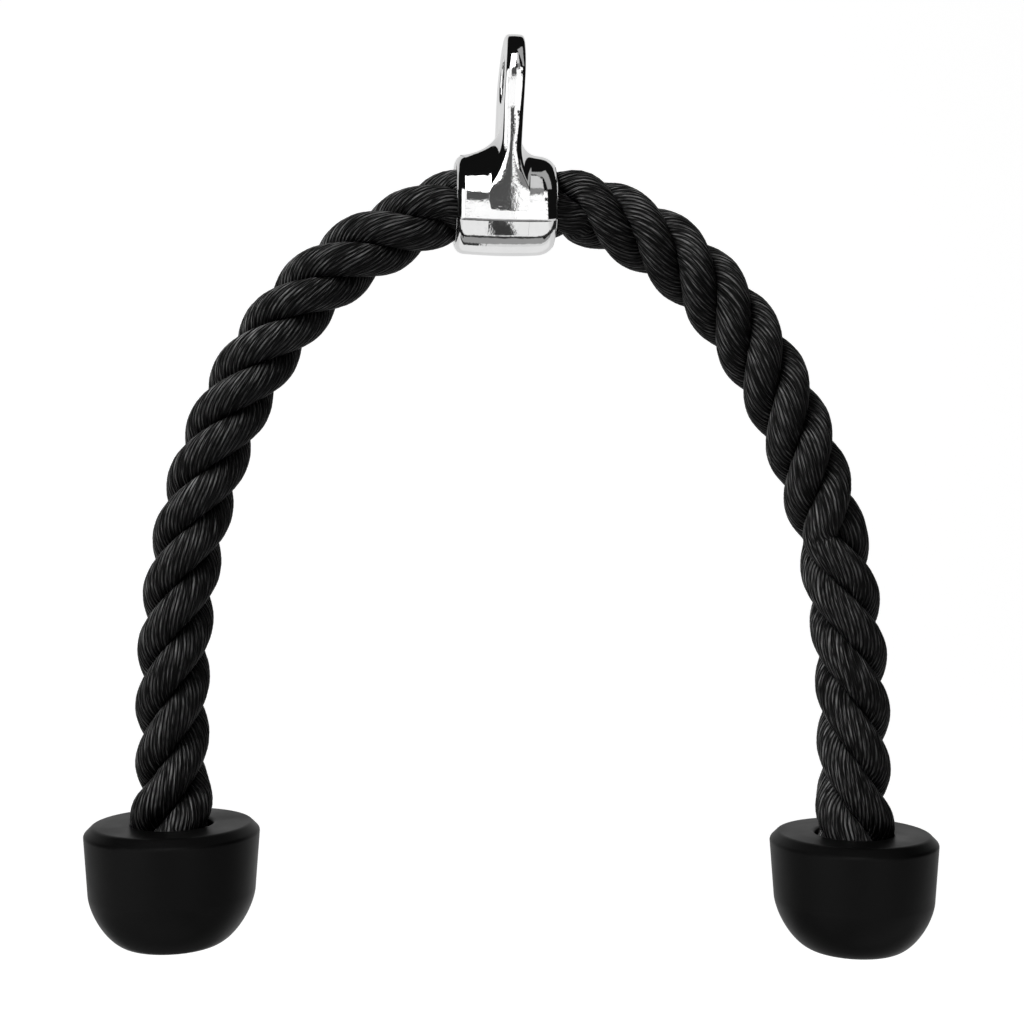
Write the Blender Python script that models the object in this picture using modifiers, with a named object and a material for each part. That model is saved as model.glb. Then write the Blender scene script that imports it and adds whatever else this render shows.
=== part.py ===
"""Triceps rope attachment: a chromed hanger, one laid rope through it, and two rubber stoppers.

Metres, +Z up. The origin is the centre of the hanger's eye, where the cable's snap hook goes.
X runs along the hanger's barrel and the rope inside it, and -Y is the front.
"""

import math

import bmesh
import bpy
from mathutils import Vector
from mathutils.geometry import interpolate_bezier

# Clearances
face_gap = 0.0003          # between two pieces that touch
turning_gap = 0.0003       # around what turns inside another piece
cut_overrun = 0.0010       # how far a cutter runs past what it cuts
weld_distance = 0.00001    # points of one mesh that are nearer than this are one point

# Rope
rope_radius = 0.0150
rope_squeeze = 0.0006              # taken off the radius inside the barrel
rope_crimp = 0.0010                # taken off the radius inside the ferrule
rope_start_run_share = 0.175       # of the radius, the level run out of the barrel
rope_end_run_share = 0.20          # of the radius, the upright run into the stopper
rope_point_spacing = 0.0150
rope_route_samples = 24            # curve samples between two route points

# Hanger, one casting: an upright eye plate on a barrel, joined by a saddle
barrel_length = 0.0410
barrel_wall = 0.0055
barrel_crown = 0.0009              # how much the barrel narrows towards its ends
barrel_end_round_share = 0.65      # of the wall, on the outer edge
mouth_round_share = 0.18           # of the wall, on the edge of the bore
eye_to_barrel = 0.0505
eye_radius = 0.0185
eye_hole_radius = 0.0105
eye_hole_bevel = 0.0012
plate_thickness = 0.0082
plate_edge_round = 0.0015
saddle_round = 0.0115

# Stopper, measured down from its top face
stopper_wall = 0.01625
stopper_shoulder_bevel = 0.0034
stopper_side_taper = 0.0010        # from the shoulder to where the rounded bottom starts
stopper_side_share = 0.50          # of the height, down to where the rounded bottom starts
stopper_end_room = 0.0059          # from the ferrule down to the base plug
stopper_base_land = 0.0010         # the flat ring around the base's opening
stopper_hole_clearance = 0.0006    # around the rope in the neck
stopper_mouth_round = 0.0022
stopper_neck_depth = 0.0120
stopper_lip_thickness = 0.0040
stopper_lip_width = 0.00405        # how far the lip reaches in over the cavity

# Pieces inside each stopper
washer_ring = 0.0020               # from its hole to its edge
washer_thickness = 0.0025
ferrule_wall = 0.0026
ferrule_length = 0.0200
ferrule_groove_depth = 0.0007
ferrule_groove_width = 0.0026
ferrule_edge_bevel = 0.0006
pin_radius = 0.0020
plug_flange_thickness = 0.0020
plug_flange_overhang = 0.0025      # past the lip's opening
plug_edge_bevel = 0.0006
plug_recess_radius = 0.0060
plug_recess_depth = 0.0010

# The rope's route from each mouth of the barrel to the stopper's top: (outward, down)
left_route = [
    (0.0000, 0.0000), (0.0085, 0.0014), (0.0175, 0.0062), (0.0334, 0.0152), (0.0474, 0.0256),
    (0.0599, 0.0376), (0.0708, 0.0510), (0.0804, 0.0656), (0.0885, 0.0811), (0.0953, 0.0972),
    (0.1009, 0.1138), (0.1053, 0.1308), (0.1086, 0.1480), (0.1109, 0.1653), (0.1122, 0.1827),
    (0.1127, 0.2001), (0.1127, 0.2210), (0.1127, 0.2470),
]
right_route = [
    (0.0000, 0.0000), (0.0088, 0.0009), (0.0190, 0.0042), (0.0358, 0.0115), (0.0507, 0.0220),
    (0.0639, 0.0347), (0.0754, 0.0490), (0.0855, 0.0647), (0.0941, 0.0813), (0.1016, 0.0986),
    (0.1078, 0.1162), (0.1129, 0.1342), (0.1168, 0.1522), (0.1197, 0.1704), (0.1216, 0.1886),
    (0.1225, 0.2070), (0.1227, 0.2300), (0.1227, 0.2560),
]

# How finely the shapes are cut
eye_arc_steps = 10
barrel_arc_steps = 18
side_steps = 8
saddle_steps = 6
round_steps = 3
turned_steps = 36
small_turned_steps = 24
bottom_steps = 8

# Sizes worked out from those above
rope_squeezed_radius = rope_radius - rope_squeeze
rope_crimped_radius = rope_radius - rope_crimp
rope_start_run = rope_radius * rope_start_run_share
rope_end_run = rope_radius * rope_end_run_share
barrel_half = barrel_length / 2
plate_half = plate_thickness / 2
bore_radius = rope_squeezed_radius + turning_gap
barrel_radius = bore_radius + barrel_wall
barrel_end_round = barrel_wall * barrel_end_round_share
mouth_round = barrel_wall * mouth_round_share
mouth_x = barrel_half + face_gap
hole_radius = rope_radius + stopper_hole_clearance
washer_radius = hole_radius + washer_ring
cavity_radius = washer_radius + turning_gap + face_gap / 2
washer_top_depth = stopper_neck_depth + face_gap
ferrule_top_depth = washer_top_depth + washer_thickness + face_gap
ferrule_radius = rope_crimped_radius + face_gap + ferrule_wall
ferrule_bottom_depth = ferrule_top_depth + ferrule_length
plug_top_depth = ferrule_bottom_depth + stopper_end_room
lip_top_depth = plug_top_depth + plug_flange_thickness + face_gap
stopper_lip_radius = cavity_radius - stopper_lip_width
stopper_radius = cavity_radius + stopper_wall
stopper_height = lip_top_depth + stopper_lip_thickness
stopper_waist_radius = stopper_radius - stopper_side_taper
stopper_waist_depth = stopper_height * stopper_side_share
stopper_base_radius = stopper_lip_radius + stopper_base_land
plug_radius = stopper_lip_radius - face_gap
plug_flange_radius = plug_radius + plug_flange_overhang


def clear_scene():
    for thing in list(bpy.data.objects):
        bpy.data.objects.remove(thing, do_unlink=True)


def new_collection(name):
    collection = bpy.data.collections.new(name)
    bpy.context.scene.collection.children.link(collection)
    return collection


def principled(name, colour, roughness, metallic):
    material = bpy.data.materials.new(name)
    material.use_nodes = True
    shader = material.node_tree.nodes["Principled BSDF"]
    shader.inputs["Base Color"].default_value = (*colour, 1.0)
    shader.inputs["Roughness"].default_value = roughness
    shader.inputs["Metallic"].default_value = metallic
    return material


def empty_at(name, collection, place, parent=None):
    """An empty on a joint's axis, for the pieces that turn about it."""
    pivot = bpy.data.objects.new(name, None)
    pivot.empty_display_size = rope_radius
    pivot.location = Vector(place)
    collection.objects.link(pivot)
    if parent:
        pivot.parent = parent
        pivot.location = Vector(place) - world_place(parent)
    return pivot


def world_place(thing):
    place = Vector(thing.location)
    while thing.parent:
        thing = thing.parent
        place += thing.location
    return place


def add_piece(name, data, collection, material, place=(0, 0, 0), parent=None):
    piece = bpy.data.objects.new(name, data)
    collection.objects.link(piece)
    piece.data.materials.append(material)
    piece.location = Vector(place)
    if parent:
        piece.parent = parent
        piece.location = Vector(place) - world_place(parent)
    return piece


def shade_round(mesh, angle=math.radians(35)):
    mesh.shade_smooth()
    mesh.set_sharp_from_angle(angle=angle)


def turned_piece(name, profile, collection, material, place, steps, closed=True, parent=None):
    """A turned solid about Z from (radius, height) points, down the outer side first."""
    mesh = bpy.data.meshes.new(name)
    points = [(radius, 0, height) for radius, height in profile]
    edges = [(i, i + 1) for i in range(len(points) - 1)]
    if closed:
        edges.append((len(points) - 1, 0))
    mesh.from_pydata(points, edges, [])
    piece = add_piece(name, mesh, collection, material, place, parent)
    screw = piece.modifiers.new("turn", "SCREW")
    screw.axis = "Z"
    screw.angle = math.tau
    screw.steps = steps
    screw.render_steps = steps
    screw.use_merge_vertices = True
    screw.merge_threshold = weld_distance
    screw.use_smooth_shade = True
    return piece


def cut(piece, cutter):
    boolean = piece.modifiers.new("cut " + cutter.name, "BOOLEAN")
    boolean.operation = "DIFFERENCE"
    boolean.solver = "EXACT"
    boolean.object = cutter


def as_cutter(thing):
    thing.hide_render = True
    thing.display_type = "WIRE"
    return thing


def cylinder_along_y(name, radius, half_length, collection, material, place, parent=None, steps=20):
    mesh = bpy.data.meshes.new(name)
    form = bmesh.new()
    bmesh.ops.create_cone(form, cap_ends=True, segments=steps, radius1=radius, radius2=radius,
                          depth=half_length * 2)
    bmesh.ops.rotate(form, cent=(0, 0, 0), verts=form.verts,
                     matrix=Vector((0, 0, 1)).rotation_difference(Vector((0, 1, 0))).to_matrix())
    form.to_mesh(mesh)
    form.free()
    piece = add_piece(name, mesh, collection, material, place, parent)
    shade_round(mesh)
    return piece


def plate_outline():
    """The eye plate seen along X: the hull of the eye and the barrel, about the barrel's axis.

    Each point is (angle from upright, distance from the barrel's axis).
    """
    lean = math.asin((barrel_radius - eye_radius) / eye_to_barrel)
    tangent = math.pi / 2 - lean
    eye_side = (eye_radius * math.sin(tangent), eye_to_barrel + eye_radius * math.cos(tangent))
    barrel_side = (barrel_radius * math.sin(tangent), barrel_radius * math.cos(tangent))
    right = []
    for i in range(1, eye_arc_steps + 1):
        turn = tangent * i / eye_arc_steps
        right.append((eye_radius * math.sin(turn), eye_to_barrel + eye_radius * math.cos(turn)))
    for i in range(1, side_steps):
        share = i / side_steps
        right.append(tuple(a + (b - a) * share for a, b in zip(eye_side, barrel_side)))
    for i in range(barrel_arc_steps // 2):
        turn = tangent + (math.pi - tangent) * i / (barrel_arc_steps // 2)
        right.append((barrel_radius * math.sin(turn), barrel_radius * math.cos(turn)))
    left = [(-across, up) for across, up in reversed(right)]
    ring = [(0, eye_to_barrel + eye_radius)] + right + [(0, -barrel_radius)] + left
    return [(math.atan2(across, up), math.hypot(across, up)) for across, up in ring]


def barrel_radius_at(x):
    return barrel_radius - barrel_crown * (x / barrel_half) ** 2


def hanger_stations():
    """(x, barrel radius, how far the plate is taken in, height of the saddle) to the right of centre."""
    stations = [(0, barrel_radius, 0, saddle_round)]
    for i in range(round_steps + 1):
        turn = math.pi / 2 * i / round_steps
        x = plate_half - plate_edge_round * (1 - math.sin(turn))
        inset = plate_edge_round * (1 - math.cos(turn))
        stations.append((x, barrel_radius_at(x), inset, None))
    for i in range(saddle_steps + 1):
        turn = math.pi / 2 * (1 - i / saddle_steps)
        x = plate_half + saddle_round * (1 - math.sin(turn))
        stations.append((x, barrel_radius_at(x), plate_edge_round, saddle_round * (1 - math.cos(turn))))
    start = barrel_half - barrel_end_round
    for i in range(round_steps + 1):
        turn = math.pi / 2 * i / round_steps
        x = start + barrel_end_round * math.sin(turn)
        stations.append((x, barrel_radius_at(start) - barrel_end_round * (1 - math.cos(turn)), 0, 0))
    return stations


def section_radius(reach, station):
    """The casting's distance from the barrel's axis, where the plate alone would reach so far."""
    x, radius, inset, saddle = station
    if saddle is None:
        return max(radius, reach - inset)
    if x == 0:
        return reach
    return max(radius, min(reach - inset, radius + saddle))


def hanger(collection, cutters, material):
    outline = plate_outline()
    half = hanger_stations()
    stations = [(-station[0], station) for station in reversed(half[1:])] + [(s[0], s) for s in half]
    bore = []
    for i in range(round_steps + 1):
        turn = math.pi / 2 * i / round_steps
        bore.append((barrel_half - mouth_round * (1 - math.cos(turn)),
                     bore_radius + mouth_round * (1 - math.sin(turn))))
    form = bmesh.new()

    def ring(x, radii):
        return [form.verts.new((x, -radius * math.sin(angle), radius * math.cos(angle) - eye_to_barrel))
                for (angle, _), radius in zip(outline, radii)]

    rings = [ring(x, [section_radius(reach, station) for _, reach in outline]) for x, station in stations]
    rings += [ring(x, [radius] * len(outline)) for x, radius in bore]
    rings += [ring(-x, [radius] * len(outline)) for x, radius in reversed(bore)]
    count = len(outline)
    for first, second in zip(rings, rings[1:] + rings[:1]):
        for i in range(count):
            form.faces.new((first[i], second[i], second[(i + 1) % count], first[(i + 1) % count]))
    bmesh.ops.remove_doubles(form, verts=form.verts, dist=weld_distance)
    bmesh.ops.recalc_face_normals(form, faces=form.faces)
    mesh = bpy.data.meshes.new("hanger")
    form.to_mesh(mesh)
    form.free()
    shade_round(mesh)
    piece = add_piece("hanger", mesh, collection, material)

    wide = eye_hole_radius + eye_hole_bevel + cut_overrun
    flare_top = plate_half + cut_overrun
    neck = plate_half - eye_hole_bevel
    profile = [(0, flare_top), (wide, flare_top), (eye_hole_radius, neck), (eye_hole_radius, -neck),
               (wide, -flare_top), (0, -flare_top)]
    hole = turned_piece("eye_hole", profile, cutters, material, (0, 0, 0), turned_steps, closed=False)
    hole.rotation_euler = (0, math.pi / 2, 0)
    cut(piece, as_cutter(hole))
    return piece


def smooth_route(points):
    """Points on one smooth curve through the route's points, evenly spaced, with straight ends."""
    run = [Vector(p) for p in points]
    first = Vector((rope_start_run, 0))
    last = run[-1] - Vector((0, rope_end_run))
    knots = [first] + run[1:-1] + [last]
    before = first - Vector((run[1].x, 0))
    after = last + Vector((0, (last - run[-2]).length))
    padded = [before] + knots + [after]
    fine = []
    for before_a, a, b, after_b in zip(padded, padded[1:], padded[2:], padded[3:]):
        leave = a + (b - before_a) / 6
        arrive = b - (after_b - a) / 6
        fine += interpolate_bezier(a, leave, arrive, b, rope_route_samples + 1)[:-1]
    fine.append(last)
    lengths = [0.0]
    for a, b in zip(fine, fine[1:]):
        lengths.append(lengths[-1] + (b - a).length)
    count = max(2, round(lengths[-1] / rope_point_spacing))
    even = []
    for k in range(count + 1):
        target = lengths[-1] * k / count
        i = max(0, min(len(fine) - 2, next((j for j, s in enumerate(lengths) if s > target), len(fine)) - 1))
        share = (target - lengths[i]) / (lengths[i + 1] - lengths[i])
        even.append(fine[i].lerp(fine[i + 1], min(1.0, share)))
    return [run[0]] + even + [run[-1]]


def rope_leg(name, route, side, collection, material, parent):
    """A plain tube along one leg's route; side is -1 on the left and 1 on the right."""
    curve = bpy.data.curves.new(name, "CURVE")
    curve.dimensions = "3D"
    curve.bevel_depth = rope_radius
    curve.bevel_resolution = 4
    curve.use_fill_caps = True
    points = smooth_route(route)
    spline = curve.splines.new("POLY")
    spline.points.add(len(points) - 1)
    for point, place in zip(spline.points, points):
        point.co = (side * place.x, 0, -place.y, 1)
    return add_piece(name, curve, collection, material, (side * mouth_x, 0, -eye_to_barrel), parent)


def stopper_profile():
    """The stopper's section, outer side first, then up its cavity and out of its neck."""
    side = [(stopper_radius - stopper_shoulder_bevel, 0), (stopper_radius, -stopper_shoulder_bevel)]
    drop = stopper_height - stopper_waist_depth
    for i in range(bottom_steps + 1):
        turn = math.pi / 2 * i / bottom_steps
        side.append((stopper_base_radius + (stopper_waist_radius - stopper_base_radius) * math.cos(turn),
                     -stopper_waist_depth - drop * math.sin(turn)))
    side += [(stopper_lip_radius, -stopper_height), (stopper_lip_radius, -lip_top_depth),
             (cavity_radius, -lip_top_depth), (cavity_radius, -stopper_neck_depth),
             (hole_radius, -stopper_neck_depth)]
    for i in range(round_steps + 1):
        turn = math.pi / 2 * i / round_steps
        side.append((hole_radius + stopper_mouth_round * (1 - math.cos(turn)),
                     -stopper_mouth_round * (1 - math.sin(turn))))
    return side


def ferrule_profile():
    """A crimped steel sleeve with two pressed grooves; height zero is its upper end."""
    inner = rope_crimped_radius + face_gap
    groove = ferrule_radius - ferrule_groove_depth
    outer = [(ferrule_radius - ferrule_edge_bevel, 0), (ferrule_radius, -ferrule_edge_bevel)]
    for centre in (ferrule_length / 4, ferrule_length * 3 / 4):
        edge = ferrule_groove_width / 2
        slope = ferrule_groove_depth
        outer += [(ferrule_radius, -(centre - edge - slope)), (groove, -(centre - edge)),
                  (groove, -(centre + edge)), (ferrule_radius, -(centre + edge + slope))]
    outer += [(ferrule_radius, ferrule_edge_bevel - ferrule_length),
              (ferrule_radius - ferrule_edge_bevel, -ferrule_length)]
    return outer + [(inner, -ferrule_length), (inner, 0)]


def rope_end_profile():
    """The rope inside the stopper: full size in the neck, squeezed by the ferrule below."""
    taper = rope_radius - rope_crimped_radius
    squeeze_top = -(ferrule_top_depth - face_gap)
    bottom = -(ferrule_bottom_depth - ferrule_edge_bevel)
    return [(0, 0), (rope_radius, 0), (rope_radius, squeeze_top + taper),
            (rope_crimped_radius, squeeze_top), (rope_crimped_radius, bottom), (0, bottom)]


def plug_profile():
    """The snap-in plug that closes the base, with a shallow pry recess in its face."""
    flange_top = -plug_top_depth
    flange_bottom = flange_top - plug_flange_thickness
    base = -stopper_height
    return [(0, flange_top), (plug_flange_radius - plug_edge_bevel, flange_top),
            (plug_flange_radius, flange_top - plug_edge_bevel), (plug_flange_radius, flange_bottom),
            (plug_radius, flange_bottom), (plug_radius, base + plug_edge_bevel),
            (plug_radius - plug_edge_bevel, base), (plug_recess_radius, base),
            (plug_recess_radius - plug_recess_depth, base + plug_recess_depth),
            (0, base + plug_recess_depth)]


def stopper_set(side_name, side, route, rope_pivot, collection, cutters, finishes):
    """One leg of the rope and everything on its end."""
    mouth = (side * mouth_x, 0, -eye_to_barrel)
    leg_pivot = empty_at(side_name + "_leg_pivot", collection, mouth, rope_pivot)
    rope_leg("rope_leg_" + side_name, route, side, collection, finishes["rope"], leg_pivot)
    out, down = route[-1]
    top = Vector((side * (mouth_x + out), 0, -eye_to_barrel - down - face_gap))
    end = turned_piece("rope_end_" + side_name, rope_end_profile(), collection, finishes["cut_rope"],
                       top, small_turned_steps, closed=False, parent=leg_pivot)
    washer_profile = [(washer_radius, 0), (washer_radius, -washer_thickness),
                      (hole_radius, -washer_thickness), (hole_radius, 0)]
    turned_piece("washer_" + side_name, washer_profile, collection, finishes["steel"],
                 top - Vector((0, 0, washer_top_depth)), small_turned_steps, parent=leg_pivot)
    ferrule = turned_piece("ferrule_" + side_name, ferrule_profile(), collection, finishes["steel"],
                           top - Vector((0, 0, ferrule_top_depth)), small_turned_steps, parent=leg_pivot)
    pin_place = top - Vector((0, 0, ferrule_top_depth + ferrule_length / 2))
    cylinder_along_y("ferrule_pin_" + side_name, pin_radius, ferrule_radius, collection,
                     finishes["steel"], pin_place, leg_pivot)
    pin_hole = as_cutter(cylinder_along_y("pin_hole_" + side_name, pin_radius + face_gap,
                                          ferrule_radius + cut_overrun, cutters, finishes["steel"],
                                          pin_place))
    cut(end, pin_hole)
    cut(ferrule, pin_hole)
    stopper_pivot = empty_at(side_name + "_stopper_pivot", collection, top, leg_pivot)
    turned_piece("stopper_" + side_name, stopper_profile(), collection, finishes["rubber"],
                 top, turned_steps, parent=stopper_pivot)
    turned_piece("base_plug_" + side_name, plug_profile(), collection, finishes["plug"],
                 top, turned_steps, closed=False, parent=stopper_pivot)


def main():
    clear_scene()
    pieces = new_collection("triceps_rope_attachment")
    cutters = new_collection("cutters")
    finishes = {
        "chrome": principled("chromed_casting", (0.78, 0.78, 0.79), 0.06, 1.0),
        "rope": principled("black_laid_rope", (0.012, 0.012, 0.013), 0.45, 0.0),
        "cut_rope": principled("black_rope_end", (0.016, 0.016, 0.017), 0.60, 0.0),
        "rubber": principled("black_rubber", (0.014, 0.014, 0.014), 0.42, 0.0),
        "plug": principled("black_rubber_plug", (0.018, 0.018, 0.018), 0.50, 0.0),
        "steel": principled("zinc_plated_steel", (0.55, 0.55, 0.54), 0.35, 1.0),
    }
    hanger(pieces, cutters, finishes["chrome"])
    rope_pivot = empty_at("rope_pivot", pieces, (0, 0, -eye_to_barrel))
    core = turned_piece("rope_core", [(0, barrel_half), (rope_squeezed_radius, barrel_half),
                                      (rope_squeezed_radius, -barrel_half), (0, -barrel_half)],
                        pieces, finishes["rope"], (0, 0, -eye_to_barrel), small_turned_steps,
                        closed=False, parent=rope_pivot)
    core.rotation_euler = (0, math.pi / 2, 0)
    stopper_set("left", -1, left_route, rope_pivot, pieces, cutters, finishes)
    stopper_set("right", 1, right_route, rope_pivot, pieces, cutters, finishes)


main()
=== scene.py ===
"""Looks of the triceps rope attachment: chromed hanger, laid black rope, moulded rubber stoppers."""

import math

import bmesh
import bpy
import numpy as np
from mathutils import Matrix, Vector
from mathutils.geometry import interpolate_bezier


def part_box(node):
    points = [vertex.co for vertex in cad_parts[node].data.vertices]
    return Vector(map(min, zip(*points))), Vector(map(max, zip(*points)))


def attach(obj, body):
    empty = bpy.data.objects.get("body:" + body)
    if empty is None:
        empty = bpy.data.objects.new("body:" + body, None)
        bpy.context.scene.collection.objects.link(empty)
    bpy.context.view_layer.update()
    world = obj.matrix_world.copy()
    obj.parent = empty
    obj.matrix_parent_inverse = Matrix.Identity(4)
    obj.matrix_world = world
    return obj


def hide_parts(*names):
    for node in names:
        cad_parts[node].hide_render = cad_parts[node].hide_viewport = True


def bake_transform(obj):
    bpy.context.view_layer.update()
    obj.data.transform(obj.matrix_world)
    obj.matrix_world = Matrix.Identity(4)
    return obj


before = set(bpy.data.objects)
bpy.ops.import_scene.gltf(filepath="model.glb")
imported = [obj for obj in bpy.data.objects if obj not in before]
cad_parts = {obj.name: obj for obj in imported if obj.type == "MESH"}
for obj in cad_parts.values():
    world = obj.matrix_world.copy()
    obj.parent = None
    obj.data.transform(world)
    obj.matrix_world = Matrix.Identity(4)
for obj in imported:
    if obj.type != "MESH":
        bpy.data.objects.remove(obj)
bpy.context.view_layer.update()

# The camera, level and a little to the left of the object
camera_turn = math.radians(5.0)
camera_target = Vector((0.00182, 0, -0.17456))
camera_distance = 0.6075
camera_lens = 52.73

# The hanger, about its barrel
eye_to_barrel = 0.0505
eye_top = 0.0180                   # above the eye's hole
eye_front = (0.0198, -0.0005)      # how far the eye reaches to the front, and at what height above its hole
plate_waist = (0.0190, -0.0170)    # the same for the plate's waist below it
eye_hole_radius = 0.0095
eye_hole_round = 0.0012
plate_half = 0.0039
plate_half_at_top = 0.0037
plate_change = (0.0040, 0.0100)    # where above the eye's middle its face flattens, and over what height
plate_face_crown = 0.0016
plate_crown_at_top = 0.00025
plate_edge_round = 0.0014
rib_crown_share = 0.25             # where the rib is low, its crown is this share of how far it stands out
plate_lean = 0.05                  # to the right, as a share of the height above the barrel's axis
plate_root_shift = 0.0005          # how far right it already stands at the barrel's axis
saddle_left = (0.0140, 0.0125)     # how far the saddle's hollow runs along the barrel and up the plate
saddle_right = (0.0095, 0.0085)
saddle_front = (0.0045, 0.0045)    # the same down the front and the back of the barrel
hanger_turn = math.radians(1.2)    # about the upright, so the plate's left cheek shows more
barrel_shift = -0.0016             # the barrel sits a little to the left of the eye
barrel_half = 0.0200
barrel_radius = 0.0202
barrel_crown = 0.0009
barrel_end_round = 0.0036
bore_radius = 0.0147
mouth_round = 0.0010
front_depth = 0.02032              # of the flat front
front_drop = 0.0094                # the flat front runs this far below the barrel's axis
front_blend = (0.00176, -0.0028)   # heights between which the round turns slowly into the flat front
front_blend_slope = math.radians(5)
front_ledge = 0.0005
rib_foot_drop = 0.0062             # the rib's foot, below the barrel's axis
rib_foot_height = 0.00015          # and how far it stands out from the flat front
rib_foot_handle = (0.0005, 0.0140) # how the rib's front line comes down to its foot
waist_handle = 0.0040              # how straight that line leaves the waist
right_end_run = 0.0065             # the rounding of the right end is longer along the barrel
saddle_tightens = (math.radians(15), math.radians(55))   # from this angle off upright, over this angle
edge_share_of_side = 0.3           # the rounding between face and side takes at most this share of the side
edge_share_of_face = 0.4
bore_shares = (0.6, 0.3, 0)        # of the barrel's half length, where the bore has points
cutter_turn = math.radians(75)     # the hole's rounding turns so far, then the cutter runs straight out
cutter_run = 0.0003

# Steps of the hanger's outline, from its top down, and of its sections, from the rib's middle to the bore
eye_steps = 42
neck_points = 25
rib_points = 49
below_rib_steps = (6, 4, 30)       # to the flat front's corner, over the ledge and to the bottom
face_steps = 8
edge_points = 8
saddle_steps = 32
side_steps = 30
side_step_power = 1.5              # makes the steps down the side finest at the top
barrel_end_steps = 8
mouth_steps = 4
cutter_steps = 6
eye_hole_steps = 96

# The rope
strand_count = 3
strand_radius = 0.0074
strand_orbit = 0.0082
strand_gap = 0.00012
yarns_per_strand = 24
points_per_yarn = 5
yarn_depth = 0.00032
yarn_wander = 0.00004
yarn_twist_share = 2.16            # turns of a yarn round its strand for each turn of the strand
ring_spacing = 0.0015
fewest_rings = 4
yarn_roundness = 0.9
yarn_edge_height = 0.316           # of a yarn's round back, where the round's radius is 1
yarn_crest_rise = 0.684            # from there to the yarn's crest
yarn_waves = [(0.0031, 2.399), (0.0073, 4.13)]   # length for each radian, and the shift to the next yarn
yarn_nudge = 0.001                 # a place on the edge between two yarns belongs to the second
seam_share = 0.0001                # of the way round a strand, within which its edges are joined
lay_length = 0.0676                # one turn of a strand along the rope
lay_length_in_barrel = 0.0642
lay_length_below = 0.0711          # below the place where the lay turns back
lay_turns_back_at = 0.2070         # along the rope, to the right of the barrel's middle
lay_turn_length = 0.0140
lay_barrel_half = 0.0250
lay_mark = -0.0308                 # along the rope; here the first strand stands at this angle
lay_mark_angle = math.radians(9.5)
mark_spacing = 0.0005
direction_reach = 0.0015           # the rope's direction is taken over this far to both sides
route_points = 33
rope_start_run = 0.0026
rope_end_run = 0.0030
mouth_x = 0.0208
rope_seam_x = 0.0160               # inside the barrel, where each leg meets the middle piece
squeezed_share = 0.895             # of the strands' full size, inside the barrel
left_leg_share = 0.925
right_leg_share = 0.965
squeeze_ends = (0.001, 0.008)      # this far beyond the barrel's mouth, and over this length
# Below: (share of the full size, from where after the stopper's top, over what length)
stopper_swell = (1.065, -0.016, 0.010)
stopper_squeezes = [(0.080, -0.001, 0.0032), (0.080, 0.0125, 0.0025)]
tail_depth = 0.004                 # each leg's mesh goes this far into its stopper

# The rope's route from each mouth of the barrel to the stopper's top: (outward, down)
left_route = [
    (0.0000, 0.0000), (0.0085, 0.0024), (0.0175, 0.0080), (0.0334, 0.0162), (0.0474, 0.0262),
    (0.0599, 0.0376), (0.0708, 0.0510), (0.0804, 0.0656), (0.0885, 0.0811), (0.0953, 0.0972),
    (0.1009, 0.1138), (0.1053, 0.1308), (0.1086, 0.1480), (0.1109, 0.1653), (0.1122, 0.1827),
    (0.1127, 0.2001), (0.1127, 0.2210), (0.1127, 0.2470),
]
right_route = [
    (0.0000, 0.0000), (0.0088, -0.0002), (0.0190, 0.0036), (0.0358, 0.0115), (0.0507, 0.0220),
    (0.0639, 0.0347), (0.0754, 0.0490), (0.0855, 0.0647), (0.0941, 0.0813), (0.1016, 0.0986),
    (0.1078, 0.1162), (0.1129, 0.1342), (0.1168, 0.1522), (0.1197, 0.1704), (0.1216, 0.1886),
    (0.1225, 0.2070), (0.1227, 0.2300), (0.1227, 0.2560),
]

# The stoppers
shoulder_bevel = 0.0034
side_taper = 0.0017
side_share = 0.56
belly_flatness = 1.30
base_land = 0.0042
shoulder_rounds = (0.0009, 0.0010) # at the bevel's inner and outer edge
inside_round = 0.0005
belly_steps = 32
hole_radius = 0.0156
hole_mouth_round = 0.0022
neck_depth = 0.0120
cavity_radius = 0.01805
lip_radius = 0.0140
lip_thickness = 0.0040
ferrule_bottom_depth = 0.0351
plug_flange_thickness = 0.0020
plug_flange_overhang = 0.0025
plug_recess_radius = 0.0060
plug_recess_depth = 0.0010
plug_flange_rounds = (0.0006, 0.0002)
plug_rim_round = 0.0008
plug_recess_rounds = (0.0005, 0.0006)
face_gap = 0.0003

# All pieces
weld_distance = 0.00001
sharp_angle = math.radians(35)
yarn_sharp_angle = math.radians(50)
turned_steps = 128
corner_steps = 6
corner_pull = 2 / 3                # how far an arc's handles reach towards its corner
most_of_side = 0.49                # a corner's rounding takes at most this share of each side

# The fibres on the yarns; what is counted along the rope is counted for each metre
fibre_slant = 95.0                 # how many yarns across the fibres run
fibre_scale = (5.0, 120.0)         # of the fibres' noise, across a yarn and along the rope
fibre_shift = 37.0                 # sets one yarn's fibres apart from the next one's
patch_scale = (0.9, 260.0)         # the same for the patches in which fibres carry painted glints
# Where the painted glints set in and where they are full: from a yarn's edge (0) to its crest (0.5), and in
# both noises
crest_range = (0.10, 0.38)
fibre_range = (0.46, 0.62)
patch_range = (0.30, 0.62)
fibre_shade_share = 0.6
yarn_shade_share = 0.4

# The colour sockets of a mix node, which has other sockets of the same names
mix_first = 6
mix_second = 7
mix_result = 2

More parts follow.
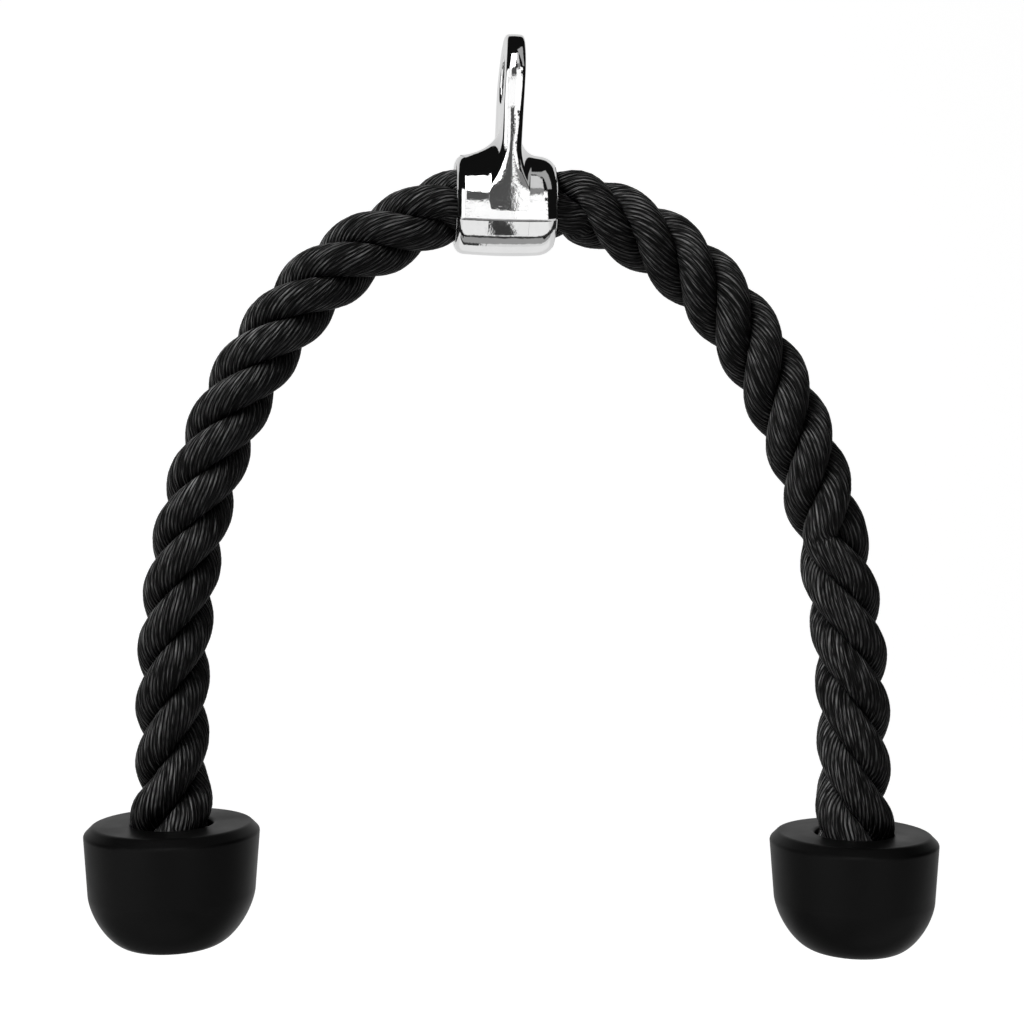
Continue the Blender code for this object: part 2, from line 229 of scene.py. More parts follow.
# The studio, as seen from the hanger: (name, left, right, low and high in degrees, radiance)
softbox_distance = 1.5
rope_lamp = ("rope_lamp", -80, -35, 30, 65, 10.0)   # not seen in glossy surfaces
softboxes = [   # only seen in glossy surfaces
    ("key_softbox", -24, 6, 22, 58, 3.2),
    ("front_softbox", -24, 8, -10, 13.2, 1.2),
    ("rib_line_softbox", -24, -8, 13.4, 21.6, 1.2),
    ("camera_gap", -8, 9.0, 13.9, 21, 0.08),
    ("foot_softbox", 9.0, 24, 13.4, 18.5, 1.3),
    ("rib_softbox", 22, 37, 16.5, 22, 1.3),
    ("right_softbox", 8, 36, -24, 13.2, 1.4),
    ("right_gap", 12, 24, 19, 29, 0.25),
    ("right_top", 8, 24, 29, 60, 0.7),
    ("left_softbox", -66, -25, -24, 23, 1.4),
    ("right_panel", 34, 66, 26, 70, 0.4),
]
floor_level = -0.62
floor_front = 2.4
floor_back = 2.0
floor_half_width = 3.0
sweep_radius = 0.6
sweep_height = 3.0
sweep_steps = 12
floor_grey = 0.25
floor_roughness = 0.7
floor_seen = 0.95                  # how bright it shows to the camera
floor_reflected = 0.68
world_light = 0.006                # on the object; the camera sees white
card_height = 0.001
card_grey = 0.02
card_roughness = 0.8
card_specular = 0.1
# Cards lying on the floor, seen only in reflections: (name, left, right, front, back, brightness)
floor_cards = [
    ("patch_card", 0.018, 0.080, -0.55, -0.09, 0.03),
    ("left_front_card", -0.60, 0.018, -0.60, -0.06, 0.95),
    ("right_front_card", 0.080, 0.60, -0.60, -0.06, 0.95),
    ("back_card", -0.60, 0.60, 0.30, 0.90, 0.90),
    ("front_line_card", -0.60, 0.60, -0.06, 0.00, 0.03),
    ("middle_card", -0.60, 0.60, 0.00, 0.19, 0.33),
    ("back_line_card", -0.60, 0.00, 0.19, 0.30, 0.03),
]


def smoothstep(share):
    share = np.clip(share, 0.0, 1.0)
    return share * share * (3 - 2 * share)


def quarter_turn(steps):
    return [math.pi / 2 * i / steps for i in range(steps + 1)]


def in_scene(name, data):
    thing = bpy.data.objects.new(name, data)
    bpy.context.scene.collection.objects.link(thing)
    return thing


def new_object(name, form, sharp=sharp_angle):
    """A finished bmesh as an object at the origin, shaded round except at its sharp edges."""
    mesh = bpy.data.meshes.new(name)
    form.to_mesh(mesh)
    form.free()
    mesh.shade_smooth()
    mesh.set_sharp_from_angle(angle=sharp)
    return in_scene(name, mesh)


def leg_points(route, side):
    """The middle of one leg of the rope, on one smooth curve from the barrel's mouth to the stopper.

    Each point's handles run along its two neighbours' line, a sixth of the way (a Catmull-Rom curve).
    """
    run = [Vector(p) for p in route]
    first = Vector((rope_start_run, 0))
    last = run[-1] - Vector((0, rope_end_run))
    knots = [first] + run[1:-1] + [last]
    before = first - Vector((run[1].x, 0))
    after = last + Vector((0, (last - run[-2]).length))
    padded = [before] + knots + [after]
    fine = [run[0]]
    for before_a, a, b, after_b in zip(padded, padded[1:], padded[2:], padded[3:]):
        fine += interpolate_bezier(a, a + (b - before_a) / 6,
                                   b - (after_b - a) / 6, b, route_points)[:-1]
    fine += [last, run[-1]]
    return [(side * (mouth_x + p.x), -(eye_to_barrel + p.y)) for p in fine]


class RopeLine:
    """The whole rope's middle line; places along it are lengths from the barrel's middle."""

    def __init__(self):
        left = leg_points(left_route, -1)
        right = leg_points(right_route, 1)
        left_end = (left[-1][0], left[-1][1] - ferrule_bottom_depth)
        right_end = (right[-1][0], right[-1][1] - ferrule_bottom_depth)
        self.points = np.array([left_end] + left[::-1] + [(0, -eye_to_barrel)] + right + [right_end])
        steps = np.linalg.norm(np.diff(self.points, axis=0), axis=1)
        self.lengths = np.concatenate([[0], np.cumsum(steps)])
        self.lengths -= self.lengths[len(left) + 1]
        self.left_top = self.lengths[1]
        self.right_top = self.lengths[-2]
        self.marks = np.arange(self.lengths[0], self.lengths[-1] + mark_spacing, mark_spacing)
        back = smoothstep((self.marks - lay_turns_back_at) / lay_turn_length + 0.5)
        inside = np.abs(self.marks) < lay_barrel_half
        rate = math.tau / np.where(inside, lay_length_in_barrel, lay_length)
        rate = (1 - back) * rate - back * math.tau / lay_length_below
        turned = np.concatenate([[0], np.cumsum((rate[1:] + rate[:-1]) / 2 * mark_spacing)])
        self.turned = turned - np.interp(lay_mark, self.marks, turned) + lay_mark_angle

    def middle(self, u):
        x = np.interp(u, self.lengths, self.points[:, 0])
        z = np.interp(u, self.lengths, self.points[:, 1])
        return np.stack([x, np.zeros_like(x), z], axis=-1)

    def along(self, u):
        step = self.middle(u + direction_reach) - self.middle(u - direction_reach)
        return step / np.linalg.norm(step, axis=-1, keepdims=True)

    def turn(self, u):
        return np.interp(u, self.marks, self.turned)

    def size(self, u):
        """How much the rope is squeezed or swollen: in the barrel, at the stoppers, in the ferrules."""
        beyond = np.where(u < 0, self.left_top - u, u - self.right_top)
        leg = np.where(u < 0, left_leg_share, right_leg_share)
        free = smoothstep((np.abs(u) - mouth_x - squeeze_ends[0]) / squeeze_ends[1])
        barrel = squeezed_share + (leg - squeezed_share) * free
        share, start, length = stopper_swell
        swell = 1 + (share / leg - 1) * smoothstep((beyond - start) / length)
        for share, start, length in stopper_squeezes:
            swell -= share * smoothstep((beyond - start) / length)
        return barrel * swell


rope = RopeLine()


def dot(first, second):
    return np.sum(first * second, axis=-1, keepdims=True)


def unit(vectors):
    return vectors / np.linalg.norm(vectors, axis=-1, keepdims=True)


def strand_middle(u, index):
    """(middle of one strand, direction out from the rope's own middle, the rope's frame there)."""
    middle = rope.middle(u)
    along = rope.along(u)
    side = np.stack([along[:, 2], np.zeros(len(u)), -along[:, 0]], axis=-1)
    back = np.tile([0.0, 1.0, 0.0], (len(u), 1))
    turn = (rope.turn(u) + math.tau * index / strand_count)[:, None]
    out = np.cos(turn) * side + np.sin(turn) * back
    return middle + strand_orbit * rope.size(u)[:, None] * out, out, (middle, along, side, back)


def yarn_height(share, u, index):
    """The height of the yarns' round backs, and how each one stands a little proud or low in places."""
    place = share * yarns_per_strand + yarn_nudge
    across_yarn = np.modf(place)[0] * 2 - 1
    round_back = (np.sqrt(1 - yarn_roundness * across_yarn ** 2) - yarn_edge_height) / yarn_crest_rise
    number = np.floor(place) % yarns_per_strand + yarns_per_strand * index
    wave = sum(np.sin(u / length + number * shift) for length, shift in yarn_waves)
    return yarn_wander * wave - yarn_depth * (1 - round_back)


def strand_surface(share, u, index):
    """Places on a strand's surface: share runs once round it, following the yarns, and u along the rope.

    Where a strand would cross the middle plane between it and its neighbour, it is pressed flat there.
    """
    middle, out, (rope_middle, along, side, back) = strand_middle(u, index)
    ahead = unit(strand_middle(u + mark_spacing, index)[0] - strand_middle(u - mark_spacing, index)[0])
    out = unit(out - dot(out, ahead) * ahead)
    beside = np.cross(ahead, out)
    angle = (math.tau * share - yarn_twist_share * rope.turn(u))[:, None]
    radius = (strand_radius * rope.size(u) + yarn_height(share, u, index))[:, None]
    place = middle + radius * (np.cos(angle) * out + np.sin(angle) * beside)
    offset = place - rope_middle
    forward = dot(offset, along)
    across_rope = np.hypot(dot(offset, side), dot(offset, back))
    turn = np.arctan2(dot(offset, back), dot(offset, side))
    own_turn = rope.turn(u + forward[:, 0])[:, None] + math.tau * index / strand_count
    apart = (turn - own_turn + math.pi) % math.tau - math.pi
    most = math.pi / strand_count - strand_gap / np.maximum(across_rope, 4 * strand_gap)
    turn = own_turn + np.clip(apart, -most, most)
    return rope_middle + forward * along + across_rope * (np.cos(turn) * side + np.sin(turn) * back)


def laid_strand(form, layer, index, start, end):
    """One strand from a grid: its columns follow the yarns and its rows step along the rope."""
    rows = max(fewest_rings, round((end - start) / ring_spacing))
    made = bmesh.ops.create_grid(form, x_segments=yarns_per_strand * points_per_yarn, y_segments=rows,
                                 size=0.5, calc_uvs=True)["verts"]
    flat = np.array([v.co for v in made])
    share = flat[:, 0] + 0.5
    u = start + (flat[:, 1] + 0.5) * (end - start)
    for vert, place in zip(made, strand_surface(share, u, index)):
        vert.co = place
    for face in {f for v in made for f in v.link_faces}:
        for loop in face.loops:
            uv = loop[layer].uv
            loop[layer].uv = (yarns_per_strand * (uv.x + index), start + uv.y * (end - start))
    seam = [v for v, s in zip(made, share) if s < seam_share or s > 1 - seam_share]
    bmesh.ops.remove_doubles(form, verts=seam, dist=weld_distance)


def laid_rope(name, start, end):
    """The three strands between two places along the rope, as one piece."""
    form = bmesh.new()
    layer = form.loops.layers.uv.new("yarns")
    for index in range(strand_count):
        laid_strand(form, layer, index, start, end)
    bmesh.ops.holes_fill(form, edges=[e for e in form.edges if e.is_boundary], sides=0)
    bmesh.ops.recalc_face_normals(form, faces=form.faces)
    return new_object(name, form, yarn_sharp_angle)


def barrel_reach(angle):
    """The casting round the rope: a circle with a flat front and back that end in a small ledge."""
    low = abs(angle) - math.pi / 2
    first = -math.asin(front_blend[0] / barrel_radius)
    corner = math.atan2(front_drop, front_depth)
    ledge = math.asin((front_drop + front_ledge) / barrel_radius)
    if low <= first or low >= ledge:
        return barrel_radius
    if low <= corner:
        rise = max(0.0, -front_depth * math.tan(low) - front_blend[1])
        fall = math.tan(front_blend_slope) / (2 * (front_blend[0] - front_blend[1])) * rise ** 2
        return (front_depth - fall) / math.cos(low)
    fall = (low - corner) / (ledge - corner)
    return front_depth / math.cos(corner) * (1 - fall) + barrel_radius * fall


def plate_profile():
    """The plate's front edge seen from the side, (depth, height above the barrel's axis), from the top."""
    front = Vector((eye_front[0], eye_to_barrel + eye_front[1]))
    waist = Vector((plate_waist[0], eye_to_barrel + plate_waist[1]))
    foot = Vector((front_depth + rib_foot_height, -rib_foot_drop))
    points = [Vector((front.x * math.sin(turn), front.y + (eye_top - eye_front[1]) * math.cos(turn)))
              for turn in quarter_turn(eye_steps)]
    neck_handle = Vector((0, (front.y - waist.y) / 3))
    foot_handle = Vector((-rib_foot_handle[0], rib_foot_handle[1]))
    points += interpolate_bezier(front, front - neck_handle, waist + neck_handle, waist, neck_points)[1:]
    points += interpolate_bezier(waist, waist - Vector((0, waist_handle)), foot + foot_handle, foot,
                                 rib_points)[1:]
    return points


def hanger_columns():
    """(angle from upright, reach of the eye plate, reach of the barrel), down one side from the top."""
    columns = []
    for point in plate_profile():
        angle = math.atan2(point.x, point.y)
        base = barrel_reach(angle)
        columns.append((angle, max(point.length, base), base))
    foot_angle, foot_reach, foot_base = columns[-1]
    corner = math.pi / 2 + math.atan2(front_drop, front_depth)
    ledge = math.pi / 2 + math.asin((front_drop + front_ledge) / barrel_radius)
    stops = (foot_angle, corner, ledge, math.pi)
    for first, last, count in zip(stops, stops[1:], below_rib_steps):
        for i in range(1, count + 1):
            angle = first + (last - first) * i / count
            left_over = 1 - smoothstep((angle - foot_angle) / (corner - foot_angle))
            base = barrel_reach(angle)
            columns.append((angle, base + (foot_reach - foot_base) * left_over, base))
    return columns


def saddle_at(angle, top):
    """The run and rise of the saddle's hollow, which tightens from the barrel's top to its front and back."""
    share = smoothstep((angle - saddle_tightens[0]) / saddle_tightens[1])
    return [t + (f - t) * share for t, f in zip(top, saddle_front)]


def hanger_section(angle, reach, base, saddle, end_run):
    """Half a section through the casting, from the middle of the rib's face round to the bore.

    Each point is (x, distance from the barrel's axis).
    """
    run, rise = saddle
    above = smoothstep((reach * math.cos(angle) - eye_to_barrel - plate_change[0]) / plate_change[1])
    half = plate_half + (plate_half_at_top - plate_half) * above
    proud = max(reach - base, weld_distance)
    crown = min(plate_face_crown + (plate_crown_at_top - plate_face_crown) * above, rib_crown_share * proud)
    height = proud - crown
    first = math.asin(max(0.0, 1 - height / rise))
    side = [Vector((half, base + height))] if height > rise else []
    for i in range(saddle_steps + 1):
        turn = first + (math.pi / 2 - first) * i / saddle_steps
        side.append(Vector((half + run * (1 - math.cos(turn)), base + rise * (1 - math.sin(turn)))))
    lengths = np.concatenate([[0], np.cumsum([(b - a).length for a, b in zip(side, side[1:])])])
    edge = min(plate_edge_round, edge_share_of_side * lengths[-1], edge_share_of_face * side[0].x)

    def side_at(length):
        return Vector((np.interp(length, lengths, [p.x for p in side]),
                       np.interp(length, lengths, [p.y for p in side])))

    corner = side[0]
    face_end = corner.x - edge
    points = []
    for i in range(face_steps + 1):
        x = face_end * i / face_steps
        points.append(Vector((x, reach - crown * (x / corner.x) ** 2)))
    points += interpolate_bezier(points[-1], points[-1].lerp(corner, corner_pull),
                                 side_at(edge).lerp(corner, corner_pull), side_at(edge), edge_points)[1:]
    for i in range(1, side_steps + 1):
        down = 1 - (1 - i / side_steps) ** side_step_power
        points.append(side_at(edge + (lengths[-1] - edge) * down))
    points.append(Vector(((half + run + barrel_half - end_run) / 2, base)))
    for turn in quarter_turn(barrel_end_steps):
        points.append(Vector((barrel_half - end_run * (1 - math.cos(math.pi / 2 - turn)),
                              base - barrel_end_round * (1 - math.cos(turn)))))
    for turn in quarter_turn(mouth_steps):
        points.append(Vector((barrel_half - mouth_round * (1 - math.cos(turn)),
                              bore_radius + mouth_round * (1 - math.sin(turn)))))
    points += [Vector((barrel_half * share, bore_radius)) for share in bore_shares]
    for point in points:
        if point.y > bore_radius + 2 * mouth_round:
            point.y -= barrel_crown * (point.x / barrel_half) ** 2
    return points


def eye_hole_cutter():
    """A turned cutter along X, with a mouth that rounds the hole's two edges."""
    form = bmesh.new()
    half = [(eye_hole_radius, 0)]
    for i in range(cutter_steps + 1):
        turn = cutter_turn * i / cutter_steps
        half.append((eye_hole_radius + eye_hole_round * (1 - math.cos(turn)),
                     plate_half - eye_hole_round * (1 - math.sin(turn))))
    last = half[-1]
    half.append((last[0] + math.tan(cutter_turn) * cutter_run, last[1] + cutter_run))
    half.append((0, half[-1][1]))
    outline = [(r, -h) for r, h in reversed(half[1:])] + half
    verts = [form.verts.new((h, r, 0)) for r, h in outline]
    edges = [form.edges.new(pair) for pair in zip(verts, verts[1:])]
    bmesh.ops.spin(form, geom=verts + edges, cent=(0, 0, 0), axis=(1, 0, 0), angle=math.tau,
                   steps=eye_hole_steps, use_merge=True)
    bmesh.ops.remove_doubles(form, verts=form.verts, dist=weld_distance)
    bmesh.ops.recalc_face_normals(form, faces=form.faces)
    bmesh.ops.rotate(form, verts=form.verts, cent=(0, 0, 0),
                     matrix=Matrix.Rotation(math.atan(plate_lean), 3, "Y"))
    bmesh.ops.translate(form, verts=form.verts,
                        vec=(plate_root_shift + plate_lean * eye_to_barrel, 0, eye_to_barrel))
    return new_object("eye_hole_cutter", form)


def hanger_casting():
    """The eye plate, its saddle and the barrel as one loft round the barrel's axis, then the eye's hole."""
    half_columns = hanger_columns()
    columns = half_columns + [(math.tau - a, r, b) for a, r, b in reversed(half_columns[:-1])]
    sections = {}
    for angle, reach, base in half_columns:
        left = hanger_section(angle, reach, base, saddle_at(angle, saddle_left), barrel_end_round)
        right = hanger_section(angle, reach, base, saddle_at(angle, saddle_right), right_end_run)
        sections[(reach, base)] = [(-p.x, p.y) for p in reversed(left[1:])] + [(p.x, p.y) for p in right]
    rows = len(left) * 2 - 2
    form = bmesh.new()
    made = bmesh.ops.create_grid(form, x_segments=len(columns) - 1, y_segments=rows, size=0.5)["verts"]
    for vert in made:
        angle, reach, base = columns[round((vert.co.x + 0.5) * (len(columns) - 1))]
        x, radius = sections[(reach, base)][round((vert.co.y + 0.5) * rows)]
        height = radius * math.cos(angle)
        run = saddle_left[0] if x < 0 else saddle_right[0]
        leaning = 1 - smoothstep((abs(x) - plate_half) / run)
        lean = (plate_root_shift + plate_lean * max(height, 0)) * leaning
        vert.co = (x + lean, -radius * math.sin(angle), height)
    bmesh.ops.remove_doubles(form, verts=form.verts, dist=weld_distance)
    bmesh.ops.recalc_face_normals(form, faces=form.faces)
    rough = new_object("hanger_rough", form)
    cutter = eye_hole_cutter()
    boolean = rough.modifiers.new("eye_hole", "BOOLEAN")
    boolean.operation = "DIFFERENCE"
    boolean.solver = "EXACT"
    boolean.object = cutter
    mesh = bpy.data.meshes.new_from_object(rough.evaluated_get(bpy.context.evaluated_depsgraph_get()))
    for thing in (rough, cutter):
        bpy.data.objects.remove(thing, do_unlink=True)
    mesh.name = "hanger_casting"
    mesh.transform(Matrix.Translation((barrel_shift, 0, -eye_to_barrel))
                   @ Matrix.Rotation(hanger_turn, 4, "Z"))
    mesh.set_sharp_from_angle(angle=sharp_angle)
    piece = in_scene("hanger_casting", mesh)
    even = piece.modifiers.new("even_normals", "WEIGHTED_NORMAL")
    even.keep_sharp = True
    return piece


def rounded(corners):
    """A closed outline with rounded corners; each corner is (radius, height, rounding)."""
    points = []
    for i, (across, up, size) in enumerate(corners):
        here = Vector((across, up))
        before = Vector(corners[i - 1][:2]) - here
        after = Vector(corners[(i + 1) % len(corners)][:2]) - here
        reach = min(size, before.length * most_of_side, after.length * most_of_side)
        if reach < weld_distance:
            points.append(here)
            continue
        first = here + before.normalized() * reach
        last = here + after.normalized() * reach
        points += interpolate_bezier(first, first.lerp(here, corner_pull), last.lerp(here, corner_pull), last,
                                     corner_steps + 1)
    return points


def turned(name, outline, place):
    """A piece turned about an upright axis from a closed outline of (radius, height)."""
    form = bmesh.new()
    verts = [form.verts.new((p[0], 0, p[1])) for p in outline]
    edges = [form.edges.new(pair) for pair in zip(verts, verts[1:] + verts[:1])
             if max(pair[0].co.x, pair[1].co.x) > weld_distance]
    bmesh.ops.spin(form, geom=verts + edges, cent=(0, 0, 0), axis=(0, 0, 1), angle=math.tau,
                   steps=turned_steps, use_merge=True)
    bmesh.ops.remove_doubles(form, verts=form.verts, dist=weld_distance)
    bmesh.ops.recalc_face_normals(form, faces=form.faces)
    bmesh.ops.translate(form, verts=form.verts, vec=place)
    return new_object(name, form)


def stopper(name, node):
    low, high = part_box(node)
    radius = (high.x - low.x) / 2
    height = high.z - low.z
    waist = height * side_share
    base_radius = lip_radius + base_land
    corners = [(hole_radius, 0, hole_mouth_round), (radius - shoulder_bevel, 0, shoulder_rounds[0]),
               (radius, -shoulder_bevel, shoulder_rounds[1])]
    for turn in quarter_turn(belly_steps):
        corners.append((base_radius + (radius - side_taper - base_radius) * math.cos(turn) ** belly_flatness,
                        -waist - (height - waist) * math.sin(turn) ** belly_flatness, 0))
    corners += [(lip_radius, -height, inside_round), (lip_radius, lip_thickness - height, 0),
                (cavity_radius, lip_thickness - height, 0), (cavity_radius, -neck_depth, 0),
                (hole_radius, -neck_depth, inside_round)]
    return turned(name, rounded(corners), ((low.x + high.x) / 2, (low.y + high.y) / 2, high.z))


def base_plug(name, node):
    low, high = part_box(node)
    radius = lip_radius - face_gap
    flange = radius + plug_flange_overhang
    top = high.z - low.z
    shoulder = top - plug_flange_thickness
    corners = [(0, top, 0), (flange, top, plug_flange_rounds[0]), (flange, shoulder, plug_flange_rounds[1]),
               (radius, shoulder, 0), (radius, 0, plug_rim_round),
               (plug_recess_radius + plug_recess_depth, 0, plug_recess_rounds[0]),
               (plug_recess_radius, plug_recess_depth, plug_recess_rounds[1]), (0, plug_recess_depth, 0)]
    return turned(name, rounded(corners), ((low.x + high.x) / 2, (low.y + high.y) / 2, low.z))


def new_group(name, inputs, outputs):
    """An empty shader node group with its sockets; each one is (name, type)."""
    group = bpy.data.node_groups.new(name, "ShaderNodeTree")
    for label, kind in inputs:
        group.interface.new_socket(name=label, in_out="INPUT", socket_type=kind)
    for label, kind in outputs:
        group.interface.new_socket(name=label, in_out="OUTPUT", socket_type=kind)
    return group, group.nodes.new("NodeGroupInput"), group.nodes.new("NodeGroupOutput")


def add_node(tree, kind, inputs=(), **settings):
    """A node with its settings, and its inputs given by name or number: a value or a socket to link."""
    node = tree.nodes.new(kind)
    for key, value in settings.items():
        setattr(node, key, value)
    for key, value in dict(inputs).items():
        if isinstance(value, bpy.types.NodeSocket):
            tree.links.new(value, node.inputs[key])
        else:
            node.inputs[key].default_value = value
    return node


def math_node(tree, operation, *values):
    return add_node(tree, "ShaderNodeMath", dict(enumerate(values)), operation=operation).outputs[0]


def noise(tree, vector, scale, detail, roughness):
    node = add_node(tree, "ShaderNodeTexNoise",
                    {"Vector": vector, "Scale": scale, "Detail": detail, "Roughness": roughness})
    return node.outputs["Fac"]


def stretch(tree, value, low, high, to_low=0.0, to_high=1.0):
    node = add_node(tree, "ShaderNodeMapRange", {"Value": value, "From Min": low, "From Max": high,
                                                 "To Min": to_low, "To Max": to_high})
    return node.outputs["Result"]


def yarn_fibres_group():
    """Fibres on the rope's yarns, from a UV map that counts yarns across and metres along; paler fibres on
    the yarns' crests are painted glints.
    """
    group, given, result = new_group(
        "yarn_fibres", [("UV", "NodeSocketVector")],
        [("Shade", "NodeSocketFloat"), ("Painted Glint", "NodeSocketFloat"), ("Height", "NodeSocketFloat")])
    parts = add_node(group, "ShaderNodeSeparateXYZ", {0: given.outputs["UV"]})
    yarn = math_node(group, "FLOOR", math_node(group, "ADD", parts.outputs["X"], yarn_nudge))
    tint = add_node(group, "ShaderNodeTexWhiteNoise", {"W": yarn}, noise_dimensions="1D").outputs["Value"]
    slant = math_node(group, "MULTIPLY", parts.outputs["Y"], fibre_slant)
    across = math_node(group, "ADD", parts.outputs["X"], slant)
    fibre_place = add_node(group, "ShaderNodeCombineXYZ", {
        "X": math_node(group, "MULTIPLY", across, fibre_scale[0]),
        "Y": math_node(group, "MULTIPLY", parts.outputs["Y"], fibre_scale[1]),
        "Z": math_node(group, "MULTIPLY", tint, fibre_shift)}).outputs[0]
    fibres = noise(group, fibre_place, scale=1.0, detail=2.0, roughness=0.6)
    patch_place = add_node(group, "ShaderNodeCombineXYZ", {
        "X": math_node(group, "MULTIPLY", parts.outputs["X"], patch_scale[0]),
        "Y": math_node(group, "MULTIPLY", parts.outputs["Y"], patch_scale[1])}).outputs[0]
    patches = noise(group, patch_place, scale=1.0, detail=2.0, roughness=0.5)
    # painted glints: paler fibres on each yarn's crest, in patches, in place of the lamps' highlights
    from_yarn_edge = math_node(group, "PINGPONG", parts.outputs["X"], 0.5)
    crest = stretch(group, from_yarn_edge, *crest_range)
    painted_glints = math_node(group, "MULTIPLY", stretch(group, fibres, *fibre_range),
                       stretch(group, patches, *patch_range))
    painted_glints = math_node(group, "MULTIPLY", painted_glints, crest)
    shade = math_node(group, "ADD", math_node(group, "MULTIPLY", fibres, fibre_shade_share),
                      math_node(group, "MULTIPLY", tint, yarn_shade_share))
    group.links.new(shade, result.inputs["Shade"])
    group.links.new(painted_glints, result.inputs["Painted Glint"])
    group.links.new(fibres, result.inputs["Height"])
    return group


def fine_grain_group():
    """Broad clouding and fine grain over a moulded, cast or plated surface, in object coordinates."""
    group, given, result = new_group(
        "fine_grain", [("Broad Scale", "NodeSocketFloat"), ("Fine Scale", "NodeSocketFloat")],
        [("Broad", "NodeSocketFloat"), ("Fine", "NodeSocketFloat")])
    place = add_node(group, "ShaderNodeTexCoord").outputs["Object"]
    broad = noise(group, place, given.outputs["Broad Scale"], detail=4.0, roughness=0.55)
    fine = noise(group, place, given.outputs["Fine Scale"], detail=3.0, roughness=0.6)
    group.links.new(broad, result.inputs["Broad"])
    group.links.new(fine, result.inputs["Fine"])
    return group


def grey(level):
    return (level, level, level, 1.0)


def new_material(name, roughness, metallic=0.0, specular=0.5):
    material = bpy.data.materials.new(name)
    material.use_nodes = True
    tree = material.node_tree
    shader = tree.nodes["Principled BSDF"]
    shader.inputs["Roughness"].default_value = roughness
    shader.inputs["Metallic"].default_value = metallic
    shader.inputs["Specular IOR Level"].default_value = specular
    return material, tree, shader


def place_group(tree, group, inputs):
    return add_node(tree, "ShaderNodeGroup", inputs, node_tree=group)


def colour_between(tree, factor, dark, light):
    """A mix of two greys; the dark one may also be a colour socket."""
    first = dark if isinstance(dark, bpy.types.NodeSocket) else grey(dark)
    node = add_node(tree, "ShaderNodeMix", {"Factor": factor, mix_first: first, mix_second: grey(light)},
                    data_type="RGBA")
    return node.outputs[mix_result]


def bump(tree, height, strength, distance, normal=None):
    node = add_node(tree, "ShaderNodeBump", {"Height": height, "Strength": strength, "Distance": distance})
    if normal is not None:
        tree.links.new(normal, node.inputs["Normal"])
    return node.outputs["Normal"]


def link_looks(tree, shader, colour, roughness, normal):
    tree.links.new(colour, shader.inputs["Base Color"])
    tree.links.new(roughness, shader.inputs["Roughness"])
    tree.links.new(normal, shader.inputs["Normal"])


def rope_material(fibres_group):
    material, tree, shader = new_material("black_polypropylene_yarn", roughness=0.42, specular=0.05)
    uv = add_node(tree, "ShaderNodeUVMap", uv_map="yarns").outputs["UV"]
    fibres = place_group(tree, fibres_group, {"UV": uv})
    shade = colour_between(tree, fibres.outputs["Shade"], dark=0.0003, light=0.013)
    # the base colour carries painted glints: a pale grey on fibres along the yarns' crests
    link_looks(tree, shader,
               colour=colour_between(tree, fibres.outputs["Painted Glint"], dark=shade, light=0.36),
               roughness=stretch(tree, fibres.outputs["Shade"], 0.2, 0.8, to_low=0.50, to_high=0.38),
               normal=bump(tree, fibres.outputs["Height"], strength=1.0, distance=0.00034))
    return material


def chrome_material(grain_group):
    material, tree, shader = new_material("chrome_plate", roughness=0.05, metallic=1.0)
    grain = place_group(tree, grain_group, {"Broad Scale": 130.0, "Fine Scale": 1400.0})
    wavy = bump(tree, grain.outputs["Broad"], strength=0.22, distance=0.0004)
    link_looks(tree, shader,
               colour=colour_between(tree, grain.outputs["Broad"], dark=0.76, light=0.86),
               roughness=stretch(tree, grain.outputs["Fine"], 0.35, 0.75, to_low=0.03, to_high=0.09),
               normal=bump(tree, grain.outputs["Fine"], strength=0.10, distance=0.00008, normal=wavy))
    return material


def rubber_material(grain_group, name, dark, light, roughness):
    material, tree, shader = new_material(name, roughness, specular=0.08)
    grain = place_group(tree, grain_group, {"Broad Scale": 45.0, "Fine Scale": 1700.0})
    link_looks(tree, shader,
               colour=colour_between(tree, grain.outputs["Broad"], dark, light),
               roughness=stretch(tree, grain.outputs["Broad"], 0.3, 0.7,
                                 to_low=roughness - 0.05, to_high=roughness + 0.06),
               normal=bump(tree, grain.outputs["Fine"], strength=0.25, distance=0.00006))
    return material


def zinc_material(grain_group):
    material, tree, shader = new_material("zinc_plated_steel", roughness=0.34, metallic=1.0)
    grain = place_group(tree, grain_group, {"Broad Scale": 220.0, "Fine Scale": 2200.0})
    link_looks(tree, shader,
               colour=colour_between(tree, grain.outputs["Broad"], dark=0.42, light=0.62),
               roughness=stretch(tree, grain.outputs["Fine"], 0.3, 0.7, to_low=0.26, to_high=0.44),
               normal=bump(tree, grain.outputs["Fine"], strength=0.2, distance=0.00005))
    return material


def dress(piece, material, slot, *nodes):
    """Gives a new piece its material and hides the CAD nodes it stands for; the slot is not used."""
    piece.data.materials.clear()
    piece.data.materials.append(material)
    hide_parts(*nodes)
    return piece


def add_rope(material):
    core = laid_rope("rope_in_barrel", -rope_seam_x, rope_seam_x)
    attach(dress(core, material, "rope", "rope_core"), "rope")
    for name, side, top in (("left", -1, rope.left_top), ("right", 1, rope.right_top)):
        tail = top + side * tail_depth
        leg = laid_rope("laid_rope_" + name, *sorted((side * rope_seam_x, tail)))
        dress(leg, material, "rope", "rope_leg_" + name)
        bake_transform(leg)
        end = laid_rope("rope_end_%s_laid" % name, *sorted((tail, top + side * ferrule_bottom_depth)))
        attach(dress(end, material, "rope", "rope_end_" + name), name + "_leg")


def add_hanger(material):
    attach(dress(hanger_casting(), material, "chrome", "hanger"), "hanger")


def add_stoppers(rubber, plug_rubber):
    for side in ("left", "right"):
        node = "stopper_" + side
        cap = stopper("moulded_stopper_" + side, node)
        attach(dress(cap, rubber, "rubber", node), side + "_stopper")
        plug = base_plug("moulded_plug_" + side, "base_plug_" + side)
        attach(dress(plug, plug_rubber, "rubber", "base_plug_" + side), side + "_stopper")


